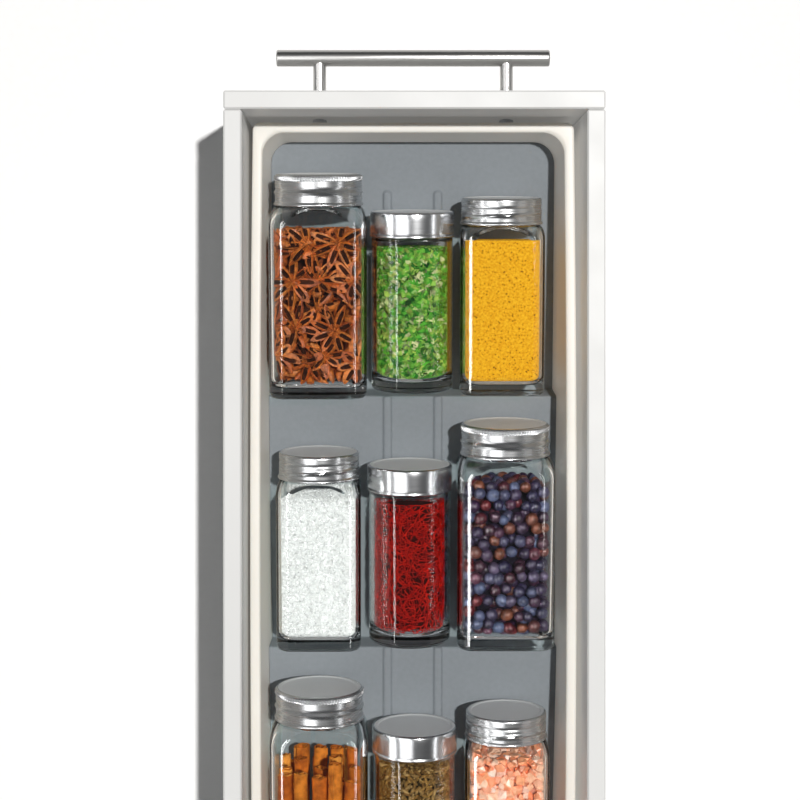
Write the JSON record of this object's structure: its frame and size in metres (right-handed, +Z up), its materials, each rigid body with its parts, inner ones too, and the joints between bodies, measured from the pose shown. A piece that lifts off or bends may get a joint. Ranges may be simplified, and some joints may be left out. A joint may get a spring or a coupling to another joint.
{
  "type": "pull-out pantry drawer",
  "caption": "Narrow pull-out pantry drawer with a bar pull, ball-bearing runners and a tiered spice organiser that holds lidded glass jars.",
  "frame": {"origin": "on the floor, at the middle of the whole footprint from the bar pull's face to the drawer's back", "axes": "+Z up; -Y points out of the drawer's front, the way it opens; +X to the right of someone looking along +Y at the front"},
  "size_m": [0.187, 0.477, 0.1125],
  "materials": {
    "ball_steel": "polished steel",
    "brushed_steel": "brushed stainless steel",
    "bumper_rubber": "matte black rubber",
    "cinnamon_sticks": "rolled brown bark",
    "coarse_salt": "white salt crystals",
    "cream_plastic": "moulded cream plastic, fine matte texture",
    "cumin_seeds": "light brown seeds",
    "curry_powder": "yellow ground spice with dark specks",
    "dried_herbs": "dried green herb flakes",
    "grey_board": "grey melamine-faced board",
    "jar_glass": "clear pressed glass",
    "juniper_berries": "dark blue and purple dried berries",
    "lid_steel": "satin tinned steel",
    "liner_grey": "soft-touch grey non-slip liner",
    "pink_salt": "pink salt chunks",
    "saffron": "red saffron threads",
    "star_anise": "dry brown star anise",
    "white_paint": "satin white paint on wood board, slightly grey inside",
    "zinc_plate": "bright zinc-plated steel"
  },
  "bodies": {
    "base": {"base_rivet_front_left": "ball_steel", "base_rivet_front_right": "ball_steel", "base_rivet_rear_left": "ball_steel", "base_rivet_rear_right": "ball_steel", "base_tie_front": "zinc_plate", "base_tie_rear": "zinc_plate", "runner_left_bumper": "bumper_rubber", "runner_left_cabinet_member": "zinc_plate", "runner_right_bumper": "bumper_rubber", "runner_right_cabinet_member": "zinc_plate"},
    "middle_members": {"runner_left_middle_member": "zinc_plate", "runner_right_middle_member": "zinc_plate"},
    "outer_cages": {"runner_left_outer_cage": "ball_steel", "runner_right_outer_cage": "ball_steel"},
    "inner_cages": {"runner_left_inner_cage": "ball_steel", "runner_right_inner_cage": "ball_steel"},
    "drawer": {"drawer_back": "white_paint", "drawer_bottom": "grey_board", "drawer_front": "white_paint", "drawer_side_left": "white_paint", "drawer_side_right": "white_paint", "pull_bar": "brushed_steel", "pull_post_left": "brushed_steel", "pull_post_right": "brushed_steel", "pull_screw_left": "zinc_plate", "pull_screw_right": "zinc_plate", "runner_left_drawer_member": "zinc_plate", "runner_right_drawer_member": "zinc_plate"},
    "organiser": {"organiser_tray": "cream_plastic", "tray_liner": "liner_grey"},
    "star_anise_jar": {"star_anise_jar": "jar_glass", "star_anise_fill": "star_anise"},
    "star_anise_lid": {"star_anise_lid": "lid_steel"},
    "dried_herbs_jar": {"dried_herbs_jar": "jar_glass", "dried_herbs_fill": "dried_herbs"},
    "dried_herbs_lid": {"dried_herbs_lid": "lid_steel"},
    "curry_powder_jar": {"curry_powder_jar": "jar_glass", "curry_powder_fill": "curry_powder"},
    "curry_powder_lid": {"curry_powder_lid": "lid_steel"},
    "coarse_salt_jar": {"coarse_salt_jar": "jar_glass", "coarse_salt_fill": "coarse_salt"},
    "coarse_salt_lid": {"coarse_salt_lid": "lid_steel"},
    "saffron_jar": {"saffron_jar": "jar_glass", "saffron_fill": "saffron"},
    "saffron_lid": {"saffron_lid": "lid_steel"},
    "juniper_berries_jar": {"juniper_berries_jar": "jar_glass", "juniper_berries_fill": "juniper_berries"},
    "juniper_berries_lid": {"juniper_berries_lid": "lid_steel"},
    "cinnamon_sticks_jar": {"cinnamon_sticks_jar": "jar_glass", "cinnamon_sticks_fill": "cinnamon_sticks"},
    "cinnamon_sticks_lid": {"cinnamon_sticks_lid": "lid_steel"},
    "cumin_seeds_jar": {"cumin_seeds_jar": "jar_glass", "cumin_seeds_fill": "cumin_seeds"},
    "cumin_seeds_lid": {"cumin_seeds_lid": "lid_steel"},
    "pink_salt_jar": {"pink_salt_jar": "jar_glass", "pink_salt_fill": "pink_salt"},
    "pink_salt_lid": {"pink_salt_lid": "lid_steel"}
  },
  "joints": [
    {"name": "drawer_slide", "type": "slide", "parent": "base", "child": "drawer", "axis": [0, -1, 0], "range_m": [0, 0.36]},
    {"name": "middle_slide", "type": "slide", "parent": "base", "child": "middle_members", "axis": [0, -1, 0], "range_m": [0, 0.18]},
    {"name": "outer_cage_slide", "type": "slide", "parent": "base", "child": "outer_cages", "axis": [0, -1, 0], "range_m": [0, 0.09]},
    {"name": "inner_cage_slide", "type": "slide", "parent": "base", "child": "inner_cages", "axis": [0, -1, 0], "range_m": [0, 0.27]},
    {"name": "tray_lift", "type": "slide", "parent": "drawer", "child": "organiser", "axis": [0, 0, 1], "range_m": [0, 0.12]},
    {"name": "star_anise_lift", "type": "slide", "parent": "organiser", "child": "star_anise_jar", "axis": [0, 0, 1], "range_m": [0, 0.09]},
    {"name": "dried_herbs_lift", "type": "slide", "parent": "organiser", "child": "dried_herbs_jar", "axis": [0, 0, 1], "range_m": [0, 0.09]},
    {"name": "curry_powder_lift", "type": "slide", "parent": "organiser", "child": "curry_powder_jar", "axis": [0, 0, 1], "range_m": [0, 0.09]},
    {"name": "coarse_salt_lift", "type": "slide", "parent": "organiser", "child": "coarse_salt_jar", "axis": [0, 0, 1], "range_m": [0, 0.09]},
    {"name": "saffron_lift", "type": "slide", "parent": "organiser", "child": "saffron_jar", "axis": [0, 0, 1], "range_m": [0, 0.09]},
    {"name": "juniper_berries_lift", "type": "slide", "parent": "organiser", "child": "juniper_berries_jar", "axis": [0, 0, 1], "range_m": [0, 0.09]},
    {"name": "cinnamon_sticks_lift", "type": "slide", "parent": "organiser", "child": "cinnamon_sticks_jar", "axis": [0, 0, 1], "range_m": [0, 0.09]},
    {"name": "cumin_seeds_lift", "type": "slide", "parent": "organiser", "child": "cumin_seeds_jar", "axis": [0, 0, 1], "range_m": [0, 0.09]},
    {"name": "pink_salt_lift", "type": "slide", "parent": "organiser", "child": "pink_salt_jar", "axis": [0, 0, 1], "range_m": [0, 0.09]},
    {"name": "star_anise_lid_turn", "type": "hinge", "parent": "star_anise_jar", "child": "star_anise_lid", "pos_m": [0.0484, -0.15801, 0.0678], "axis": [0, -0.995, 0.1], "range_deg": [0, 270]},
    {"name": "dried_herbs_lid_turn", "type": "hinge", "parent": "dried_herbs_jar", "child": "dried_herbs_lid", "pos_m": [0.0005, -0.14221, 0.06315], "axis": [0, -0.995, 0.1], "range_deg": [0, 270]},
    {"name": "curry_powder_lid_turn", "type": "hinge", "parent": "curry_powder_jar", "child": "curry_powder_lid", "pos_m": [-0.0452, -0.14859, 0.06359], "axis": [0, -0.995, 0.1], "range_deg": [0, 270]},
    {"name": "coarse_salt_lid_turn", "type": "hinge", "parent": "coarse_salt_jar", "child": "coarse_salt_lid", "pos_m": [0.0482, -0.01879, 0.06369], "axis": [0, -0.995, 0.1], "range_deg": [0, 270]},
    {"name": "saffron_lid_turn", "type": "hinge", "parent": "saffron_jar", "child": "saffron_lid", "pos_m": [0.0018, -0.0128, 0.06329], "axis": [0, -0.995, 0.1], "range_deg": [0, 270]},
    {"name": "juniper_berries_lid_turn", "type": "hinge", "parent": "juniper_berries_jar", "child": "juniper_berries_lid", "pos_m": [-0.0468, -0.03101, 0.06818], "axis": [0, -0.995, 0.1], "range_deg": [0, 270]},
    {"name": "cinnamon_sticks_lid_turn", "type": "hinge", "parent": "cinnamon_sticks_jar", "child": "cinnamon_sticks_lid", "pos_m": [0.0479, 0.10329, 0.06783], "axis": [0, -0.995, 0.1], "range_deg": [0, 270]},
    {"name": "cumin_seeds_lid_turn", "type": "hinge", "parent": "cumin_seeds_jar", "child": "cumin_seeds_lid", "pos_m": [-0.0007, 0.121, 0.06299], "axis": [0, -0.995, 0.1], "range_deg": [0, 270]},
    {"name": "pink_salt_lid_turn", "type": "hinge", "parent": "pink_salt_jar", "child": "pink_salt_lid", "pos_m": [-0.0475, 0.11361, 0.06353], "axis": [0, -0.995, 0.1], "range_deg": [0, 270]}
  ],
  "couplings": [
    {"joint": "middle_slide", "follows": "drawer_slide", "ratio": 0.5},
    {"joint": "outer_cage_slide", "follows": "drawer_slide", "ratio": 0.25},
    {"joint": "inner_cage_slide", "follows": "drawer_slide", "ratio": 0.75}
  ]
}
